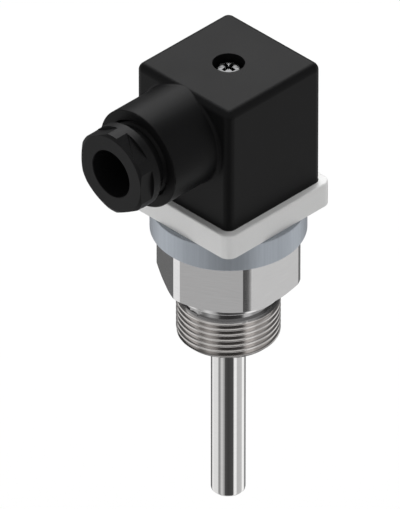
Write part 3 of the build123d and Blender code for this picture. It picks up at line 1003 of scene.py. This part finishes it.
def smooth_copy(node, name, angle):
    """A merged copy of a carried-over solid, with its flat faces joined and its rounds
    shaded smooth."""
    piece = nodes[node].copy()
    piece.data = nodes[node].data.copy()
    piece.name = name
    piece.parent = None
    bpy.context.scene.collection.objects.link(piece)
    start_fresh(piece)
    bpy.ops.object.mode_set(mode="EDIT")
    bpy.ops.mesh.select_all(action="SELECT")
    bpy.ops.mesh.remove_doubles(threshold=0.001 * mm)
    bpy.ops.object.mode_set(mode="OBJECT")
    return shade(piece, angle)


housing = smooth_copy("socket_housing", "plug_housing", 32)
black_moulding = finished(
    "black_moulding",
    (0.0050, 0.0050, 0.0052),
    (0.0072, 0.0072, 0.0075),
    mould_grain,
    {"Scale": 5000.0, "Roughness": 0.42, "Spread": 0.08},
    0.006 * mm,
    gloss=0.065,
)
dress(housing, black_moulding, "root", "socket_housing")

# Centre screw and its seal
# Dull plated steel screw with a domed head and a cross recess with tick marks between its
# wings, on a rubber washer. It goes down the sleeve and the block into the brass nut.
screw_low, screw_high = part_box("fixing_screw")
head_r = screw_high[0]
head_top = screw_high[2]
head_bottom = head_top - 1.75 * mm
rim_top = head_top - 0.75 * mm
head_edge = 0.12 * mm
dome_angles = (88, 72, 56, 41, 27, 14, 3)
shank_r = 1.5 * mm
shank_end = screw_low[2] + 8.0 * mm
shank_runout = 0.3 * mm
screw_pitch = 0.5 * mm
screw_thread_depth = 0.30 * mm
point_r = shank_r - 0.45 * mm
point_height = 0.42 * mm
wing_length, wing_width, wing_depth = 4.3 * mm, 1.1 * mm, 1.5 * mm
wing_taper = (0.5, 0.7)
tick_length, tick_width, tick_depth = 4.2 * mm, 0.2 * mm, 0.35 * mm
head_dome = [
    (
        head_r * math.sin(math.radians(angle)),
        rim_top + (head_top - rim_top) * math.cos(math.radians(angle)),
    )
    for angle in dome_angles
]
screw = turn(
    "centre_screw",
    (
        (shank_r - screw_thread_depth, shank_end - 2 * overcut),
        (shank_r, shank_end + shank_runout),
        (shank_r, head_bottom),
        (head_r - head_edge, head_bottom),
        (head_r, head_bottom + head_edge),
        *head_dome,
    ),
    sides=64,
)
screw_winding = cut_thread(
    "screw_winding",
    shank_r,
    screw_thread_depth,
    screw_pitch,
    screw_low[2],
    shank_end,
    steps=32,
)
screw_point = turn(
    "screw_point",
    (
        (point_r, screw_low[2] - hair),
        (shank_r + hair, screw_low[2] + point_height),
        (shank_r + hair, shank_end + hair),
    ),
    sides=64,
)
screw_winding = combine(screw_winding, screw_point, "INTERSECT")
screw = combine(screw, screw_winding, "UNION")
for angle in (0, 90):
    wing = block(
        "wing",
        (-wing_length / 2, -wing_width / 2, head_top - wing_depth),
        (wing_length / 2, wing_width / 2, head_top + overcut),
    )
    for point in wing.data.vertices:
        if point.co.z < head_top - wing_depth / 2:
            point.co.x *= wing_taper[0]
            point.co.y *= wing_taper[1]
    screw = combine(screw, turn_round(wing, angle), "DIFFERENCE")
for angle in (45, 135):
    tick = block(
        "tick",
        (-tick_length / 2, -tick_width / 2, head_top - tick_depth),
        (tick_length / 2, tick_width / 2, head_top + overcut),
    )
    screw = combine(screw, turn_round(tick, angle), "DIFFERENCE")
screw = soften(screw, 0, sharpest=28)
dull_plating = finished(
    "dull_plating",
    (0.09, 0.09, 0.092),
    (0.13, 0.13, 0.132),
    tool_marks,
    {"Across": 900.0, "Along": 900.0, "Roughness": 0.24, "Spread": 0.10},
    0.002 * mm,
    metallic=1.0,
)
dress(screw, dull_plating, "fixing_screw", "fixing_screw")
refinish("screw_seal", black_rubber)

# Terminal block
# Dark grey moulding with four pockets. Sprung brass forks stand in them over the blades,
# each with a clamp and a zinc-plated clamp screw for one core of the cable.
block_moulding = finished(
    "block_moulding",
    (0.085, 0.085, 0.092),
    (0.115, 0.115, 0.125),
    mould_grain,
    {"Scale": 5000.0, "Roughness": 0.5, "Spread": 0.1},
    0.006 * mm,
    gloss=0.35,
)
refinish("terminal_block", block_moulding)
for contact in ("contact_1", "contact_2", "contact_3", "earth_contact"):
    refinish(contact, bright_brass)
refinish("clamp_screws", bright_zinc)

# Cable seal and thrust washer
# Rubber sleeve at the bottom of the boss, with a bevelled mouth, and the hard washer that
# the gland screw pushes against it.
seal_sleeve = smooth_copy("gland_seal", "cable_seal", 32)
dress(seal_sleeve, black_rubber, "root", "gland_seal")
washer = smooth_copy("thrust_washer", "gland_washer", 32)
dress(washer, block_moulding, "thrust_washer", "thrust_washer")

# Gland screw
# Hollow screw moulded in black plastic: a threaded spigot in the boss, a plain neck, a round
# collar and a 19 mm hexagon with a turned face.
gland_low, gland_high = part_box("gland_screw")
gland_centre = (0, 0, (gland_low[2] + gland_high[2]) / 2)
nut_width = 19.0 * mm
nut_r = 10.25 * mm
nut_face_r = 9.45 * mm
gland_r = 9.3 * mm
gland_bore_r = 5.85 * mm
gland_bore_flare = 0.3 * mm
gland_pitch = 25.4 / 18 * mm
gland_depth = 0.8 * mm
gland_lead_in = 0.9 * mm
gland_runout = 0.8 * mm
gland_edge = 0.14 * mm
neck_inside = 0.4 * mm
nut_inside = 0.2 * mm
spigot_in = -gland_high[1]
face_out = -gland_low[1]
nut_back = face_out - 3.6 * mm
collar_back = nut_back - 2.0 * mm
thread_end = collar_back - 2.7 * mm
nut = six_sides("gland_nut", nut_width, nut_back - nut_inside, face_out, gland_centre, "Y")
nut_turning = turn(
    "nut_turning",
    (
        (nut_r, nut_back - overcut),
        (nut_r, face_out - (nut_r - nut_face_r) / 2),
        (nut_face_r, face_out),
    ),
    centre=gland_centre,
    along="Y",
    sides=192,
)
nut = combine(nut, nut_turning, "INTERSECT")
collar = turn(
    "gland_collar",
    (
        (gland_r - gland_depth, thread_end - neck_inside),
        (gland_r - gland_depth, collar_back),
        (nut_r, collar_back),
        (nut_r, nut_back),
    ),
    centre=gland_centre,
    along="Y",
)
nut = combine(nut, collar, "UNION")
nut = soften(nut, gland_edge)
spigot = cut_thread(
    "gland_winding",
    gland_r,
    gland_depth,
    gland_pitch,
    spigot_in,
    thread_end,
    centre=gland_centre,
    along="Y",
)
spigot_blank = turn(
    "spigot_blank",
    (
        (gland_r - gland_lead_in, spigot_in - hair),
        (gland_r + hair, spigot_in + gland_lead_in),
        (gland_r + hair, thread_end - gland_runout),
        (gland_r - gland_depth, thread_end + hair),
    ),
    centre=gland_centre,
    along="Y",
    sides=192,
)
spigot = combine(spigot, spigot_blank, "INTERSECT")
nut = combine(nut, spigot, "UNION")
gland_bore = turn(
    "gland_bore",
    (
        (gland_bore_r, spigot_in - overcut),
        (gland_bore_r, face_out - 0.4 * gland_bore_flare),
        (gland_bore_r + gland_bore_flare, face_out + 0.6 * gland_bore_flare),
    ),
    centre=gland_centre,
    along="Y",
)
nut = combine(nut, gland_bore, "DIFFERENCE")
nut.name = "gland_screw_moulded"
nut = soften(nut, 0, sharpest=28)
gland_moulding = finished(
    "gland_moulding",
    (0.0058, 0.0058, 0.0060),
    (0.0084, 0.0084, 0.0087),
    mould_grain,
    {"Scale": 5000.0, "Roughness": 0.42, "Spread": 0.08},
    0.006 * mm,
    gloss=0.088,
)
dress(nut, gland_moulding, "gland_screw", "gland_screw")

# Measuring insert
# Thin steel sheath brazed into a collar, which a circlip holds down in the fitting's well.
phosphated = finished(
    "phosphated",
    (0.20, 0.20, 0.205),
    (0.30, 0.30, 0.31),
    tool_marks,
    {"Across": 900.0, "Along": 900.0, "Roughness": 0.42, "Spread": 0.12},
    0.003 * mm,
    metallic=1.0,
)
refinish("insert_sheath", polished_steel)
refinish("insert_collar", turned_steel)
refinish("retaining_ring", phosphated)

# Sensing element and leads
# White ceramic element and ceramic rod in the sheath. Three leads run up the rod to the
# blades, and a short earth lead joins the collar to the earth blade.
fired_ceramic = finished(
    "fired_ceramic",
    (0.76, 0.73, 0.66),
    (0.86, 0.84, 0.78),
    mould_grain,
    {"Scale": 7000.0, "Roughness": 0.7, "Spread": 0.15},
    0.008 * mm,
)
refinish("ceramic_insulator", fired_ceramic)
refinish("sensing_element", fired_ceramic)
lead_colours = (
    ("red_insulation", (0.42, 0.025, 0.02), (0.55, 0.04, 0.03), ("lead_1", "lead_3")),
    ("white_insulation", (0.72, 0.72, 0.70), (0.82, 0.82, 0.80), ("lead_2",)),
    ("green_insulation", (0.08, 0.28, 0.06), (0.13, 0.38, 0.10), ("earth_lead",)),
)
for name, dark, light, leads in lead_colours:
    insulation = finished(
        name,
        dark,
        light,
        mould_grain,
        {"Scale": 3000.0, "Roughness": 0.35, "Spread": 0.1},
        0.004 * mm,
    )
    for lead in leads:
        refinish(lead, insulation)
